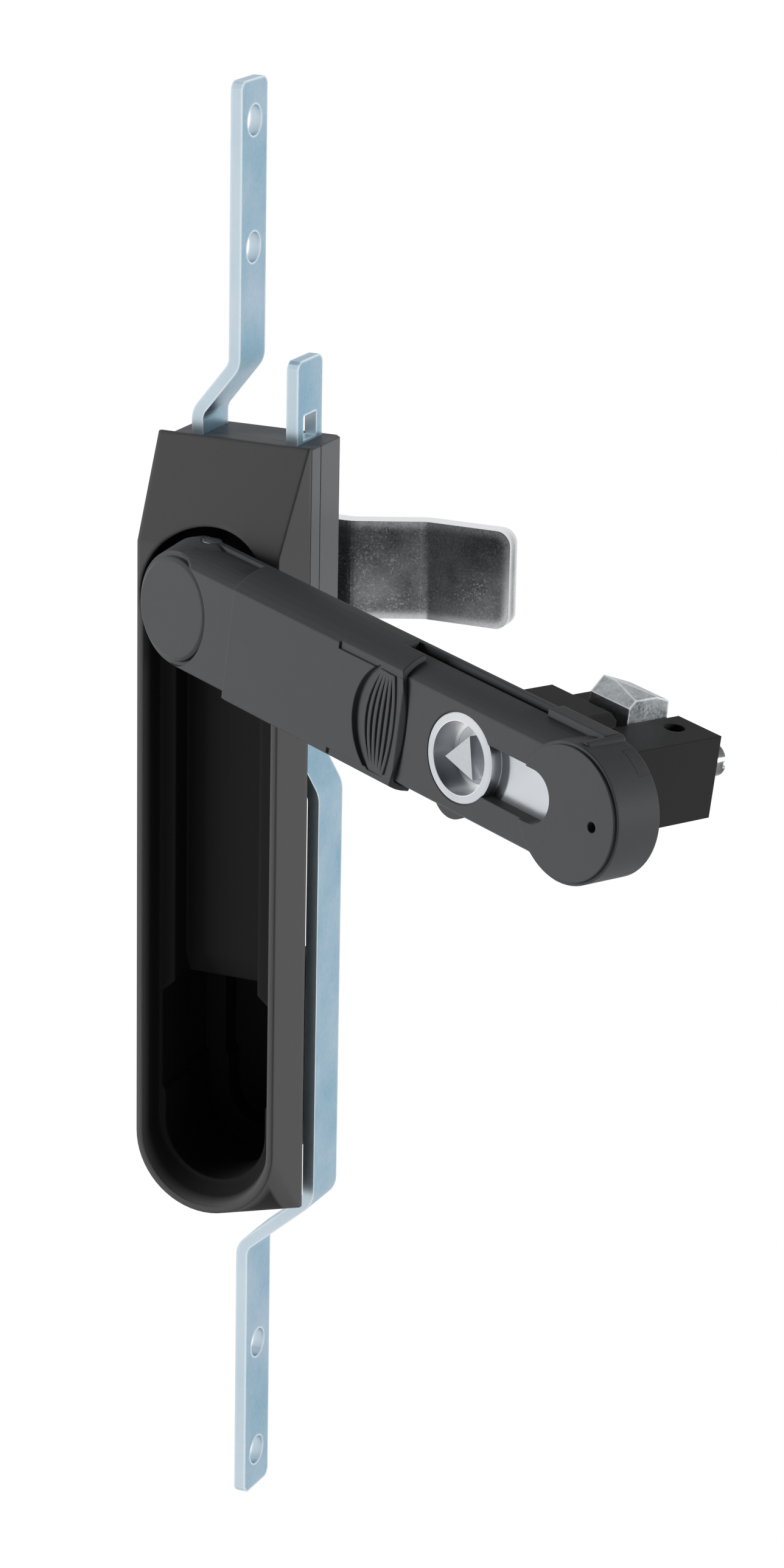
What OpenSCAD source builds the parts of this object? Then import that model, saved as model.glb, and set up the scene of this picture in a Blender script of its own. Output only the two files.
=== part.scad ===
// Swing handle rod lock for a sheet metal cabinet door
// X runs to the right, Y into the cabinet and Z up. The door's outer face is the plane Y = 0.
// The handle is drawn closed, in its own frame, and is then turned and tilted to the open pose.

/* [Dish] */
// Height of the dish, from end to end
dish_l = 157.5; // [150:0.5:175]
// Width of the dish where it meets the door
dish_w = 32.5; // [31:0.5:40]
// Height of the rim above the door
dish_h = 11.9; // [11:0.1:12]
// Width of the rim
rim_w = 30.5; // [30:0.1:32]
// Thickness of the rim's lip
lip_t = 1.35; // [1:0.05:1.8]
// Length of the hood that rises from the top edge to the rim
hood_l = 19.5; // [16:0.5:24]
// Thickness of the floor
floor_t = 2; // [1.5:0.1:3]
// Height of the ledges beside the floor, above the door
ledge_h = 7; // [5:0.1:7.2]
// Width of the floor between the ledges
pocket_w = 18.4; // [17.8:0.1:21]
// Radius of the round recess for the handle's head
recess_r = 14.6; // [14:0.1:14.8]
// Distance from the top of the dish to the spindle's axis
spindle_drop = 30; // [28:0.1:36]
// Depth of the collar that passes through the door
collar_d = 4.2; // [3:0.1:4.4]
// Thickness of the collar's wall
collar_t = 1.7; // [1.2:0.1:1.9]

/* [Gearbox] */
// Width of the gearbox
gear_w = 30.4; // [29.6:0.1:33]
// Length of the gearbox
gear_l = 58; // [54:1:62]
// Thickness of the door between the dish and the gearbox
door_t = 2.4; // [1.5:0.1:3]
// Depth of the gearbox, from its front to its back
gear_d = 14; // [13.8:0.1:18]
// Depth of the front half of the gearbox
front_d = 4.1; // [3.9:0.1:4.2]
// Number of teeth on the pinion
teeth = 8; // [8:1:8]
// Distance from the gearbox's middle to each of its screws
screw_z = 22.5; // [20:0.5:23]
// Diameter of the gearbox screws
screw_d = 4; // [3:0.5:4.5]

/* [Rods] */
// Width of the flat rods
rod_w = 11.1; // [10.6:0.1:11.3]
// Thickness of the flat rods
rod_t = 2.4; // [2:0.1:2.5]
// Distance from the spindle's axis to the middle of each rod
rack_x = 10.2; // [10.2:0.1:10.8]
// Length of the upper rod above the dish
upper_reach = 68.5; // [60:0.5:400]
// Sideways set of the upper rod's end, towards the middle
upper_set = 7.9; // [0:0.1:9]
// Length of the lower rod below the dish
lower_reach = 69.5; // [60:0.5:400]
// Outward set of the lower rod beside the lock's opening
lower_out = 5.7; // [5.5:0.1:7]
// Inward set of the lower rod's end, from its run beside the dish
lower_in = 14.9; // [10:0.1:16]
// Diameter of the holes at the rods' ends
hole_d = 6; // [5:0.1:7]
// Distance between the two holes in a rod
hole_pitch = 24.6; // [20:0.1:40]
// Distance from a rod's end to its first hole
hole_end = 8; // [6:0.1:12]

/* [Spindle and cam] */
// Radius of the spindle where it turns in the dish
shaft_r = 6; // [5:0.1:6.4]
// Side of the spindle's square
square_a = 8; // [6.5:0.1:8]
// Distance from the door to the handle's cross pin
pin_y = 13; // [13:0.1:13.4]
// Radius of the cross pin
pin_r = 2; // [1.5:0.1:2.4]
// Reach of the cam from the spindle's axis
cam_reach = 45.5; // [38:0.5:60]
// Width of the cam
cam_w = 20; // [16:0.5:22]
// Thickness of the cam
cam_t = 3.6; // [3:0.1:4]
// Backward crank of the cam
cam_crank = 6.5; // [4:0.1:9]
// Thickness of the spacer in front of the cam
spacer_t = 7; // [3:0.1:9]

/* [Handle] */
// Width of the handle's flat front
front_w = 20; // [19:0.1:20.4]
// Distance from the pin to the handle's front face
front_n = 9; // [8.5:0.1:10]
// Length of the handle from the pin to its end
handle_l = 126.3; // [124:0.1:127]
// Radius of the handle's head
head_r = 13.2; // [12.8:0.1:13.4]
// Width of the rails along the handle's back
rail_w = 26.2; // [25.8:0.1:26.6]
// Angle that the handle is turned from closed
turn_deg = 83.5; // [0:0.5:90]
// Angle that the handle is tilted out of the dish
tilt_deg = 24.5; // [0:0.5:27]

/* [Cover] */
// Start of the sliding cover, from the pin
cover_u0 = 20; // [18:0.5:21]
// Length of the sliding cover
cover_l = 50; // [44:0.5:50]
// Thickness of the cover's front wall
cover_t = 1.3; // [1:0.1:1.8]
// Number of ridges in the finger scoop
ridges = 6; // [4:1:8]

/* [Lock] */
// Distance from the middle of the lock cylinder to the handle's end
lock_end = 41.6; // [41:0.1:43]
// Radius of the lock cylinder's round part
lock_r = 8.5; // [8:0.1:8.7]
// Height of the lock cylinder's profile
profile_h = 33; // [31:0.5:33.5]
// Width of the lock cylinder's flag
flag_w = 10; // [9:0.1:10.5]
// Side of the triangular driver
driver_a = 8; // [6:0.5:8]
// Width of the deep part of the lock case
case_w = 15.8; // [15:0.1:17]
// Depth of the lock case behind the pin
case_d = 30; // [29:0.5:34]
// Reach of the latch bolt from the handle's middle
bolt_reach = 13.5; // [13:0.1:13.8]

/* [Hidden] */
$fn = 48;

// Clearances: a running fit, a sliding fit, and a gap between parts that pass each other
fit_gap = 0.05;
slide_gap = 0.15;
pass_gap = 0.3;
// A small overlap that keeps cuts clean
cut = 1;

// Distance from the pin to the middle of the lock cylinder
lock_u = handle_l - lock_end;

// Places along the dish
dish_top = dish_l / 2;
axis_z = dish_top - spindle_drop;
spigot_r = shaft_r + 3.5;
boss_r = screw_d / 2 + 1.5;
// The lock's opening follows the lock case on the closed handle
case_u0 = lock_u - 3.1;
wing_u0 = lock_u - 0.5;
deep_u0 = lock_u + 15.1;
case_u1 = lock_u - lock_r + profile_h + 1.8;
wing_w = 22;
open_gap = 0.8;
open_u0 = case_u0 - open_gap;
open_shoulder_u = wing_u0 - open_gap;
open_step_u = deep_u0 + 4;
open_arc_u = case_u1 - 0.2;
wide_half = wing_w / 2 + 1;
narrow_half = wide_half - 0.8;
ramp_l = 5;
// The lock well fills the room between the collar and the lower rod
well_wall = rack_x + lower_out - rod_t / 2 - pass_gap - collar_t - wide_half;
well_foot = axis_z - open_arc_u - narrow_half - collar_t - well_wall;

// Places in the gearbox
gear_y = door_t;
split_y = gear_y + front_d;
gear_back = gear_y + gear_d;
rod_y = gear_y + 1.2;
rod_mid = rod_y + rod_w / 2;
channel_gap = 0.12;
pitch_r = rack_x;
pitch = 2 * PI * pitch_r / teeth;
window_h = 0.6 * pitch;
window_w = 5.6;
tooth_w = window_w - 0.8;
tip_r = rack_x + rod_t / 2 + 0.3;
root_r = rack_x - rod_t / 2 - 1.8;
screw_r = screw_d / 2;
screw_head_h = 0.6 * screw_d;

// Places on the cam, behind the gearbox
cam_y = gear_back + slide_gap + spacer_t;
washer_t = 1.6;
bolt_head_t = 4;
bolt_r = 3;
tongue_w = 8;
tongue_r = 5;
flange_r = 10;
flange_t = 3.2;

// Places on the handle, where u runs from the pin to the end, w across and n out of the front
back_n = -1;
groove_u0 = cover_u0 - 3.2;
groove_n0 = 0.4;
groove_n1 = 2;
side_half = rail_w / 2 - 0.8;
groove_half = side_half - 1.3;
disc_n = front_n - 0.7;
shoulder_n = front_n - 2.1;
end_u0 = handle_l - 27.3;
end_seam = handle_l - 13.6;
end_n = front_n + 0.6;
end_half = rail_w / 2 - 0.2;
insert_n = front_n + 0.1;
insert_back = -8.8;
insert_boss_n = -5.3;
flag_n = front_n - 2.6;
flag_u1 = lock_u - lock_r + profile_h;
cup_r = lock_r - 1.6;
cup_n = front_n - 4.6;
plug_r = 5.4;
tail_r = 2;
wing_n = -14;

// The crank moves the latch bolt: its pin swings half its angle to each side of the line to the bolt
crank_r = 3.4;
crank_pin_r = 1.3;
crank_half_deg = 40;
crank_n0 = -15.2;
bolt_n0 = -17.5;
bolt_n1 = bolt_n0 - 10;
bolt_tail_t = 3.6;
bolt_u0 = deep_u0 - 10.8;
bolt_u1 = deep_u0 - 0.5;
bolt_foot = -2.6;
mid_top = 7;
spring_u = (bolt_u0 + bolt_u1) / 2;
spring_n = (bolt_n0 + bolt_n1) / 2;
spring_r = 1.8;
spring_wire = 0.6;
spring_turns = 7;
spring_foot = -case_w / 2 + 0.9;
spring_head = bolt_foot + 7.6;

// Extrudes a plan drawn in X and Z from y0 back to y1
module slab(y0, y1) {
    translate([0, y1, 0])
        rotate([90, 0, 0])
            linear_extrude(y1 - y0)
                children();
}

// Extrudes a plan of the closed handle, drawn in w and -u, from n0 out to n1
module layer(n0, n1) {
    slab(-n1, -n0)
        children();
}

// A round post along the handle's n axis
module post(n0, n1, r0, r1, u = 0, w = 0) {
    translate([w, -n0, -u])
        rotate([90, 0, 0])
            cylinder(h = n1 - n0, r1 = r0, r2 = r1);
}

// A block of the closed handle
module block(w0, w1, u0, u1, n0, n1) {
    translate([w0, -n1, -u1])
        cube([w1 - w0, n1 - n0, u1 - u0]);
}

// A round bar along Y, from y0 to y1
module bar_y(y0, y1, r) {
    translate([0, y1, 0])
        rotate([90, 0, 0])
            cylinder(h = y1 - y0, r = r);
}

// A stadium plan, from z0 up to z1, with a round lower end
module u_plan(half, zc, zt) {
    translate([0, zc])
        circle(r = half, $fn = 64);
    translate([-half, zc])
        square([2 * half, zt - zc]);
}

// A plan with a round top end as well
module stadium(half, z0, z1) {
    u_plan(half, z0, z1);
    translate([0, z1])
        circle(r = half, $fn = 64);
}

// Moves a piece drawn on the Y axis to the spindle
module at_spindle() {
    translate([0, 0, axis_z])
        children();
}

// Turns a piece with the handle
module turned() {
    at_spindle()
        rotate([0, -turn_deg, 0])
            children();
}

// Turns and tilts a piece of the closed handle about the cross pin
module opened() {
    translate([0, -pin_y, axis_z])
        rotate([-tilt_deg, -turn_deg, 0])
            children();
}

// Rounds the corner b between a and c with an arc of radius r
function fillet(a, b, c, r, steps = 4) =
    let (u = (a - b) / norm(a - b), v = (c - b) / norm(c - b))
    let (half = acos(u * v) / 2, m = (u + v) / norm(u + v))
    let (o = b + m * r / sin(half), s = b + u * r / tan(half), e = b + v * r / tan(half))
    [for (i = [0:steps]) let (d = s + (e - s) * i / steps - o) o + d * r / norm(d)];

// The path with its inner corners rounded
function rounded(p, r) =
    [p[0], for (i = [1:len(p) - 2]) each fillet(p[i - 1], p[i], p[i + 1], r), p[len(p) - 1]];

// The direction across a path at one of its points
function across(p, i) =
    let (a = p[max(i - 1, 0)], b = p[i], c = p[min(i + 1, len(p) - 1)])
    let (d = c - a, n = [-d.y, d.x] / norm(d))
    let (e = i == 0 ? c - b : b - a, k = [-e.y, e.x] / norm(e))
    n / (n * k);

// The outline of a strip of thickness t along a path
function strip(p, t) = concat(
    [for (i = [0:len(p) - 1]) p[i] + across(p, i) * t / 2],
    [for (i = [len(p) - 1:-1:0]) p[i] - across(p, i) * t / 2]);

// One side of the handle's section, a soft curve from the front edge to the back
function side_curve(half0, half1, n0, n1, steps = 6) =
    [for (i = [0:steps]) let (t = 35 + 55 * i / steps)
        [half0 + (half1 - half0) * (sin(t) - sin(35)) / (1 - sin(35)), -(n1 + (n0 - n1) * cos(t) / cos(35))]];

// A whole section from its right side
function both_sides(p) = concat(p, [for (i = [len(p) - 1:-1:0]) [-p[i].x, p[i].y]]);

// Dish, cast in one piece with its collar, spigot and screw bosses
module opening_plan(grow = 0) {
    z0 = axis_z - open_u0;
    z1 = axis_z - open_shoulder_u;
    z2 = axis_z - open_step_u;
    zc = axis_z - open_arc_u;
    a = wide_half + grow;
    b = narrow_half + grow;
    top_half = wide_half - 3 + grow;
    polygon([[-top_half, z0 + grow], [top_half, z0 + grow], [a, z1], [a, z2], [b, z2 - 1], [b, zc],
        [-b, zc], [-b, z2 - 1], [-a, z2], [-a, z1]]);
    translate([0, zc])
        circle(r = b, $fn = 64);
}

module dish_shell() {
    rim_zc = -dish_top + rim_w / 2;
    hull() {
        slab(-cut, 0)
            translate([-dish_w / 2, -dish_top])
                square([dish_w, dish_l]);
        slab(-dish_h, -dish_h + 0.4)
            u_plan(rim_w / 2, rim_zc, dish_top - hood_l);
    }
}

module dish_cavity() {
    inner = rim_w / 2 - lip_t;
    low = inner - 1.4;
    hull() {
        slab(-dish_h - cut, -dish_h + 0.1)
            stadium(inner, -dish_top + rim_w / 2, axis_z, $fn = 32);
        slab(-ledge_h - 0.1, -ledge_h)
            stadium(low, -dish_top + lip_t + 3.6 + low, axis_z, $fn = 32);
    }
}

module dish() {
    ramp_z = axis_z - open_u0 + ramp_l;
    color("#2b2c2e")
        difference() {
            union() {
                dish_shell();
                slab(-cut, collar_d)
                    opening_plan(collar_t);
                at_spindle()
                    bar_y(-cut, door_t, spigot_r);
                for (s = [-1, 1])
                    translate([0, 0, axis_z + s * screw_z])
                        bar_y(-cut, door_t, boss_r);
            }
            dish_cavity();
            at_spindle()
                bar_y(-dish_h - cut, -floor_t, recess_r);
            translate([-pocket_w / 2, -dish_h, ramp_z])
                cube([pocket_w, dish_h - floor_t, axis_z - ramp_z]);
            slab(-dish_h + 0.5, collar_d + cut)
                opening_plan();
            translate([-pocket_w / 2, 0, 0])
                rotate([90, 0, 90])
                    linear_extrude(pocket_w)
                        polygon([[-ledge_h, ramp_z], [-floor_t, ramp_z], [0, axis_z - open_u0 - 0.1],
                            [-ledge_h, axis_z - open_u0 - 0.1]]);
            at_spindle()
                bar_y(-floor_t - cut, door_t + cut, shaft_r + fit_gap);
            for (s = [-1, 1])
                translate([0, 0, axis_z + s * screw_z])
                    bar_y(-floor_t + 0.6, door_t + cut, screw_r);
        }
}

// Well, a closed box behind the door that is pressed over the dish's collar and takes in the lock
module lock_well() {
    deep = case_d + 4.4 - pin_y;
    wall = well_wall;
    edge = 5;
    color("#1f2022")
        difference() {
            union() {
                slab(door_t, deep - edge + wall)
                    opening_plan(collar_t + wall);
                hull() {
                    slab(deep - edge, deep - edge + wall)
                        well_plan(collar_t + wall, $fn = 32);
                    slab(deep, deep + wall)
                        well_plan(collar_t + wall - edge, $fn = 32);
                }
            }
            slab(door_t - cut, deep - edge)
                opening_plan(collar_t);
            slab(deep - edge - cut, deep)
                opening_plan(collar_t - edge + wall);
        }
}

module well_plan(grow) {
    half = wide_half + grow;
    zc = axis_z - open_arc_u - narrow_half + wide_half;
    translate([0, zc])
        circle(r = half);
    translate([-half, zc])
        square([2 * half, axis_z - open_shoulder_u - zc]);
    translate([-half + 4, zc])
        square([2 * half - 8, axis_z - open_u0 + grow - zc]);
}

// Gearbox, two moulded halves that guide the rods
module gearbox_plan(y0, y1, corner) {
    translate([0, 0, axis_z - gear_l / 2])
        linear_extrude(gear_l)
            polygon([[-gear_w / 2, y0], [gear_w / 2, y0], [gear_w / 2, y1 - corner],
                [gear_w / 2 - corner, y1], [-gear_w / 2 + corner, y1], [-gear_w / 2, y1 - corner]]);
}

module rod_channels() {
    half_t = rod_t / 2 + channel_gap;
    for (s = [-1, 1])
        translate([s * rack_x - half_t, rod_y - channel_gap, axis_z - gear_l / 2 - cut])
            cube([2 * half_t, rod_w + 2 * channel_gap, gear_l + 2 * cut]);
}

module screw_holes(y0, y1, r) {
    for (s = [-1, 1])
        translate([0, 0, axis_z + s * screw_z])
            bar_y(y0, y1, r);
}

module gearbox_front() {
    color("#35373a")
        difference() {
            gearbox_plan(gear_y, split_y, 0.3);
            rod_channels();
            screw_holes(gear_y - cut, split_y + cut, screw_r + 0.2);
            at_spindle()
                bar_y(gear_y - cut, split_y + cut, shaft_r + fit_gap);
        }
}

module gearbox_back() {
    color("#303235")
        difference() {
            gearbox_plan(split_y, gear_back, 1.4);
            rod_channels();
            screw_holes(split_y - cut, gear_back + cut, screw_r + 0.2);
            screw_holes(gear_back - screw_head_h - 0.4, gear_back + cut, screw_d + 0.3);
            at_spindle() {
                bar_y(split_y - cut, rod_mid + tooth_w / 2 + pass_gap, tip_r + pass_gap);
                bar_y(split_y - cut, gear_back + cut, shaft_r + fit_gap);
            }
        }
}

module gearbox_screws() {
    seat = gear_back - screw_head_h - 0.4;
    for (s = [-1, 1])
        translate([0, 0, axis_z + s * screw_z])
            color("#c9ccd0")
                difference() {
                    union() {
                        bar_y(-floor_t + 0.6, seat, screw_r);
                        bar_y(seat, seat + screw_head_h, screw_d);
                    }
                    for (a = [0, 90])
                        rotate([0, a, 0])
                            translate([-screw_r, seat + screw_head_h / 2, -0.4])
                                cube([screw_d, screw_head_h, 0.8]);
                }
}

// Spindle, with the tongue that carries the handle and the square that drives the pinion and cam
module square_bar(y0, y1, a) {
    translate([-a / 2, y0, -a / 2])
        cube([a, y1 - y0, a]);
}

module spindle() {
    flange_y = -floor_t - 0.1;
    end_y = cam_y + cam_t - 0.4;
    color("#8f9397")
        difference() {
            union() {
                turned() {
                    bar_y(flange_y - flange_t, flange_y, flange_r);
                    translate([-tongue_w / 2, -pin_y, -tongue_r])
                        cube([tongue_w, pin_y + flange_y - 1, 2 * tongue_r]);
                    translate([-tongue_w / 2, -pin_y, 0])
                        rotate([0, 90, 0])
                            cylinder(h = tongue_w, r = tongue_r);
                }
                at_spindle() {
                    bar_y(flange_y - 0.5, split_y + 0.1, shaft_r);
                    square_bar(split_y, end_y, square_a);
                }
            }
            turned()
                translate([-tongue_w, -pin_y, 0])
                    rotate([0, 90, 0])
                        cylinder(h = 2 * tongue_w, r = pin_r + fit_gap);
            at_spindle()
                bar_y(end_y - 12, end_y + cut, bolt_r);
        }
}

// Pinion, a punched wheel with peg teeth that enter the rods' windows
module pinion() {
    y0 = rod_mid - tooth_w / 2;
    half_root = 2.1;
    half_tip = 0.8;
    color("#b9a05c")
        at_spindle()
            difference() {
                union() {
                    bar_y(y0, y0 + tooth_w, root_r);
                    bar_y(y0 + tooth_w - 0.1, gear_back - 0.1, shaft_r);
                    slab(y0, y0 + tooth_w)
                        for (i = [0:teeth - 1])
                            rotate(i * 360 / teeth)
                                polygon([[root_r - 1.5, -half_root], [root_r, -half_root], [pitch_r, -1.55],
                                    [tip_r, -half_tip], [tip_r, half_tip], [pitch_r, 1.55],
                                    [root_r, half_root], [root_r - 1.5, half_root]]);
                }
                square_bar(split_y - cut, gear_back + cut, square_a + 2 * fit_gap);
            }
}

// Cam, its spacer, washer and bolt
module cam_spacer() {
    color("#9fa3a7")
        at_spindle()
            difference() {
                bar_y(gear_back + slide_gap, cam_y, shaft_r + 2.5);
                square_bar(gear_back - cut, cam_y + cut, square_a + 2 * fit_gap);
            }
}

module cam_tongue() {
    mid = cam_y + cam_t / 2;
    path = [[-cam_w / 2 - cut, mid], [13.5, mid], [27, mid + cam_crank], [cam_reach + cut, mid + cam_crank]];
    tip_r0 = 3;
    half = cam_w / 2;
    color("#9a9d9e")
        at_spindle()
            difference() {
                intersection() {
                    translate([0, 0, -half - cut])
                        linear_extrude(cam_w + 2 * cut)
                            polygon(strip(rounded(path, 5), cam_t));
                    slab(cam_y - cut, cam_y + cam_t + cam_crank + cut) {
                        circle(r = half);
                        translate([0, -half])
                            square([cam_reach - tip_r0, cam_w]);
                        translate([0, -half + tip_r0])
                            square([cam_reach, cam_w - 2 * tip_r0]);
                        for (s = [-1, 1])
                            translate([cam_reach - tip_r0, s * (half - tip_r0)])
                                circle(r = tip_r0);
                    }
                }
                square_bar(cam_y - cut, cam_y + cam_t + cut, square_a + 2 * fit_gap);
            }
}

module cam_washer() {
    color("#b4b7ba")
        at_spindle()
            difference() {
                bar_y(cam_y + cam_t, cam_y + cam_t + washer_t, square_a);
                bar_y(cam_y, cam_y + cam_t + washer_t + cut, bolt_r + 0.2);
            }
}

module cam_bolt() {
    head_y = cam_y + cam_t + washer_t;
    color("#b4b7ba")
        at_spindle() {
            bar_y(cam_y + cam_t - 10, head_y + 0.1, bolt_r);
            slab(head_y, head_y + bolt_head_t)
                circle(r = 5.8, $fn = 6);
        }
}

// Rods, flat bars with a row of punched windows that the pinion drives
module rod_ends(z0, z1, corner) {
    rotate([90, 0, 90])
        linear_extrude(80, center = true)
            polygon([[rod_y, z0 + corner], [rod_y + corner * 0.4, z0 + corner * 0.4], [rod_y + corner, z0],
                [rod_y + rod_w - corner, z0], [rod_y + rod_w - corner * 0.4, z0 + corner * 0.4],
                [rod_y + rod_w, z0 + corner], [rod_y + rod_w, z1 - corner],
                [rod_y + rod_w - corner * 0.4, z1 - corner * 0.4], [rod_y + rod_w - corner, z1],
                [rod_y + corner, z1], [rod_y + corner * 0.4, z1 - corner * 0.4], [rod_y, z1 - corner]]);
}

module flat_rod(path, z0, z1, windows, hole_z) {
    corner = 1.4;
    difference() {
        intersection() {
            translate([0, rod_y + rod_w, 0])
                rotate([90, 0, 0])
                    linear_extrude(rod_w)
                        polygon(strip(rounded(path, 4), rod_t));
            rod_ends(z0, z1, corner);
        }
        for (k = windows)
            translate([path[0].x - rod_t, rod_mid - window_w / 2, axis_z + k * pitch - window_h / 2])
                cube([2 * rod_t, window_w, window_h]);
        for (z = hole_z)
            translate([path[len(path) - 1].x - rod_t, rod_mid, z])
                rotate([0, 90, 0])
                    cylinder(h = 2 * rod_t, r = hole_d / 2);
    }
}

// How far each rod stands out of the gearbox at its plain end
plain_end = 16.5;

module upper_rod() {
    z0 = axis_z - gear_l / 2 - plain_end;
    z1 = dish_top + upper_reach;
    x1 = -rack_x + upper_set;
    bend = dish_top + 3.4;
    color("#9fb3c0")
        flat_rod([[-rack_x, z0 - cut], [-rack_x, bend], [x1, bend + 10], [x1, z1 + cut]], z0, z1,
            [-4:1], [z1 - hole_end, z1 - hole_end - hole_pitch]);
}

module lower_rod() {
    z0 = -dish_top - lower_reach;
    z1 = axis_z + gear_l / 2 + plain_end;
    x1 = rack_x + lower_out;
    x2 = x1 - lower_in;
    bend = axis_z - gear_l / 2 - 3;
    foot = min(-dish_top, well_foot) - 0.5;
    color("#9fb3c0")
        flat_rod([[rack_x, z1 + cut], [rack_x, bend], [x1, bend - 9.5], [x1, foot], [x2, foot - 13],
            [x2, z0 - cut]], z0, z1, [-1:4], [z0 + hole_end, z0 + hole_end + hole_pitch]);
}

// Handle, a die cast lever with a round head, rails for the cover and a rounded end
module lock_plan(r, half, u1) {
    translate([0, -lock_u])
        circle(r = r);
    translate([-half, -u1 + half])
        square([2 * half, u1 - half - lock_u]);
    translate([0, -u1 + half])
        circle(r = half);
}

module handle_bar() {
    section = both_sides(concat(side_curve(front_w / 2, side_half, front_n, groove_n1),
        [[groove_half, -groove_n1], [groove_half, -groove_n0], [rail_w / 2, -groove_n0 + 0.2],
            [rail_w / 2, -back_n]]));
    // Near the head the sides are plain, with no groove
    plain = both_sides(concat(side_curve(front_w / 2, side_half, front_n, groove_n1),
        [[side_half, -groove_n0 + 0.2], [rail_w / 2, -groove_n0 + 0.2], [rail_w / 2, -back_n]]));
    translate([0, 0, -end_seam - 1])
        linear_extrude(end_seam + 1)
            polygon(section);
    translate([0, 0, -groove_u0])
        linear_extrude(groove_u0)
            polygon(plain);
    for (s = [-1, 1])
        block(s * side_half - 1.4, s * side_half + 1.4, end_u0, end_seam + 1, back_n, groove_n1 + 0.6);
}

module handle_head() {
    post(back_n, 1, head_r, head_r);
    post(1, shoulder_n, head_r, head_r - 2);
}

module handle_end() {
    // A small horn stands at the upper end of the seam
    post(back_n, front_n - 1.4, 1.5, 1.2, end_seam + 1.3, end_half - 0.7);
    layer(back_n, end_n - 0.6)
        u_plan(end_half, -handle_l + end_half, -end_seam);
    layer(end_n - 0.7, end_n)
        u_plan(end_half - 0.6, -handle_l + end_half, -end_seam - 0.4);
}

// Eyelet for a seal, on the edge of the lower rail
module eyelet() {
    layer(back_n + 0.05, 0.4)
        difference() {
            translate([-rail_w / 2 + 2, -lock_u + 9.5])
                circle(r = 5.3);
            translate([-rail_w / 2 + 2, -lock_u + 9.5])
                circle(r = 3.4);
            translate([-rail_w / 2 + 0.2, -lock_u])
                square([10, 20]);
        }
}

module handle_body() {
    pocket_n = front_n - 2.6;
    color("#3a3c3f")
        opened()
            difference() {
                union() {
                    difference() {
                        union() {
                            handle_bar();
                            handle_head();
                        }
                        post(shoulder_n, front_n + cut, head_r - 2.1, head_r - 2.1);
                    }
                    post(shoulder_n - 0.1, disc_n - 0.5, head_r - 2.9, head_r - 3.1);
                    post(disc_n - 0.5, disc_n, head_r - 3.1, head_r - 3.8);
                    handle_end();
                    eyelet();
                    post(insert_boss_n, back_n + 0.1, lock_r + 1.5, lock_r + 1.5, lock_u);
                }
                block(-tongue_w / 2 - slide_gap, tongue_w / 2 + slide_gap, -head_r - cut, tongue_r + 2.5,
                    back_n - cut, tongue_r + 0.5);
                translate([-rail_w, 0, 0])
                    rotate([0, 90, 0])
                        cylinder(h = 2 * rail_w, r = pin_r);
                layer(insert_boss_n - cut, end_n + cut)
                    lock_plan(lock_r + 0.02, flag_w / 2 + 0.02, flag_u1 + 0.02);
                for (u = [15, 32, 49])
                    block(-front_w / 2 + 1.5, front_w / 2 - 1.5, u, u + 15, back_n - cut, pocket_n);
                post(front_n - 4, end_n + cut, 1, 1, handle_l - 6);
                block(-case_w / 2 - 4, case_w / 2 + 4, handle_l - 9, handle_l - 4, back_n - cut, 2);
            }
}

module cross_pin() {
    length = 2 * head_r - 0.4;
    color("#c4c7ca")
        opened()
            translate([-length / 2, 0, 0])
                rotate([0, 90, 0])
                    cylinder(h = length, r = pin_r);
}

// Sliding cover, a C shaped shell on the handle's rails with a ridged finger scoop
function bow(u, c, half, steps = 12) =
    [for (i = [0:steps]) let (w = -half + 2 * half * i / steps) [w, -(u + c * w * w / 2)]];

function bow_strip(u, t, c, half) =
    let (a = bow(u, c, half), b = bow(u + t, c, half))
    concat(a, [for (i = [len(b) - 1:-1:0]) b[i]]);

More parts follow.
